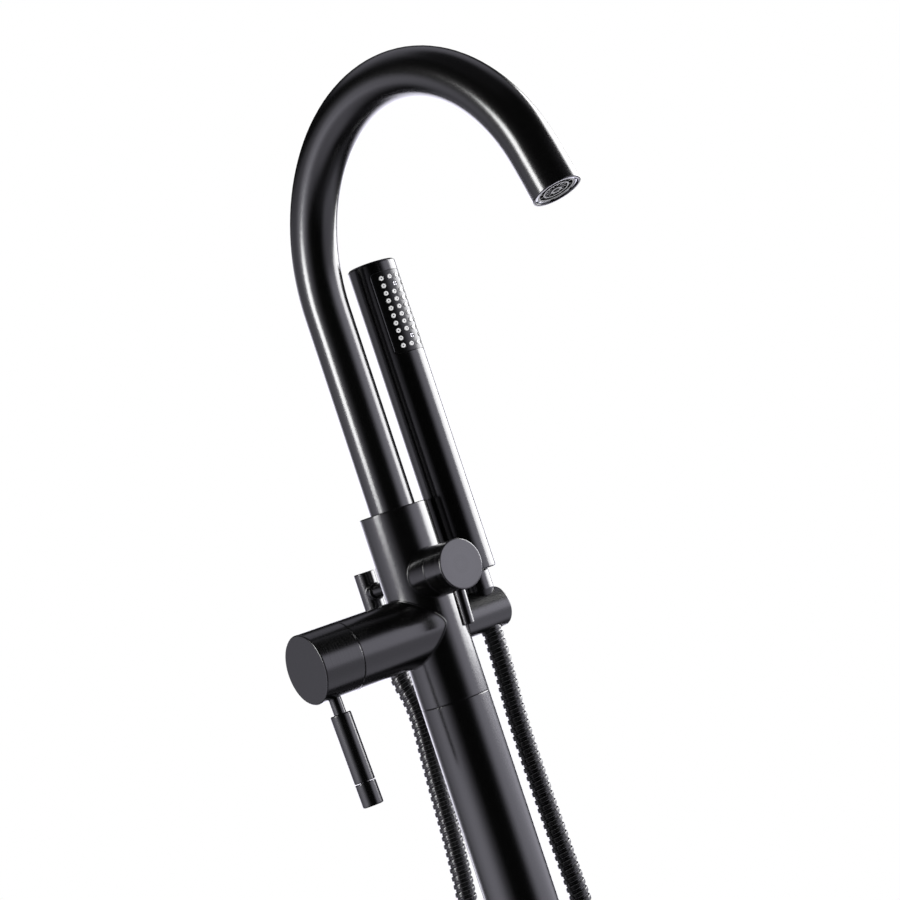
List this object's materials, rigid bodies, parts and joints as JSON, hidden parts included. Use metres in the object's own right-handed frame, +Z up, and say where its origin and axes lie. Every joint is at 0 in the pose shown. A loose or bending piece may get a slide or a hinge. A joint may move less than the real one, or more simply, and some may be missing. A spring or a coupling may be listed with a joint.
{
  "type": "floor standing bath filler",
  "caption": "Floor standing bath filler with a swivelling gooseneck spout, a lever mixer, a diverter knob and a stick handset on a hose.",
  "frame": {"origin": "on the floor, on the column's axis, at the centre of the base's bolt circle", "axes": "+Z up the column; -Y towards the bath, with the diverter knob and the spout; -X along the lever arm; +X towards the handset; +Y to the hose outlet"},
  "size_m": [0.1874, 0.3653, 1.1176],
  "materials": {
    "black_finish": "satin",
    "base_steel": "satin",
    "screw_steel": "satin",
    "pipe_steel": "satin",
    "seal_rubber": "matte",
    "cartridge_plastic": "matte",
    "disc_ceramic": "satin",
    "inner_brass": "satin",
    "aerator_chrome": "polished",
    "aerator_plastic": "satin",
    "nozzle_silicone": "satin",
    "plate_black": "satin",
    "hose_black": "gloss"
  },
  "bodies": {
    "stand": {"floor_flange": "base_steel", "flange_cover": "black_finish", "column_screws": "screw_steel", "column_tube": "black_finish", "hot_pipe": "pipe_steel", "cold_pipe": "pipe_steel", "pipe_o_rings": "seal_rubber", "mixer_body": "black_finish", "mixing_cartridge": "cartridge_plastic", "mixing_fixed_disc": "disc_ceramic", "mixing_nut": "inner_brass", "diverter_cartridge": "cartridge_plastic", "diverter_fixed_disc": "disc_ceramic", "diverter_nut": "inner_brass", "swivel_washer": "cartridge_plastic", "spout_screw": "screw_steel", "outlet_stem": "black_finish", "outlet_elbow": "black_finish", "check_valve": "cartridge_plastic", "outlet_washer": "seal_rubber", "outlet_ferrule": "inner_brass", "outlet_hose_nut": "black_finish", "handset_holder": "black_finish", "holder_stud": "screw_steel", "shower_hose": "hose_black"},
    "spout": {"spout_tube": "black_finish", "spout_foot": "inner_brass", "spout_o_rings": "seal_rubber", "aerator_housing": "aerator_chrome", "aerator_insert": "aerator_plastic", "aerator_washer": "seal_rubber"},
    "handle": {"handle_hub": "black_finish", "lever_stem": "black_finish", "lever_grip": "black_finish", "lever_end_cap": "black_finish", "mixing_spindle": "inner_brass", "mixing_moving_disc": "disc_ceramic"},
    "knob": {"diverter_knob": "black_finish", "diverter_pin": "black_finish", "diverter_spindle": "inner_brass", "diverter_moving_disc": "disc_ceramic"},
    "hose_end": {"hose_ferrule": "inner_brass"},
    "handset": {"handset_body": "black_finish", "handset_inlet": "inner_brass", "hose_cone_nut": "black_finish", "handset_washer": "seal_rubber", "spray_plate": "plate_black", "spray_nozzles": "nozzle_silicone", "plate_screws": "screw_steel"}
  },
  "joints": [
    {"name": "spout_swivel", "type": "hinge", "parent": "stand", "child": "spout", "pos_m": [0, 0, 0.858], "axis": [0, 0, 1], "continuous": true},
    {"name": "handle_turn", "type": "hinge", "parent": "stand", "child": "handle", "pos_m": [-0.08, 0, 0.7809], "axis": [-1, 0, 0], "range_deg": [0, 100]},
    {"name": "diverter_turn", "type": "hinge", "parent": "stand", "child": "knob", "pos_m": [0, -0.042, 0.8127], "axis": [0, 1, 0], "range_deg": [0, 90]},
    {"name": "handset_lift", "type": "slide", "parent": "stand", "child": "hose_end", "axis": [0, 0, 1], "range_m": [0, 0.15]},
    {"name": "handset_turn", "type": "hinge", "parent": "hose_end", "child": "handset", "pos_m": [0.0438, 0, 0.8], "axis": [0, 0, 1], "continuous": true}
  ]
}
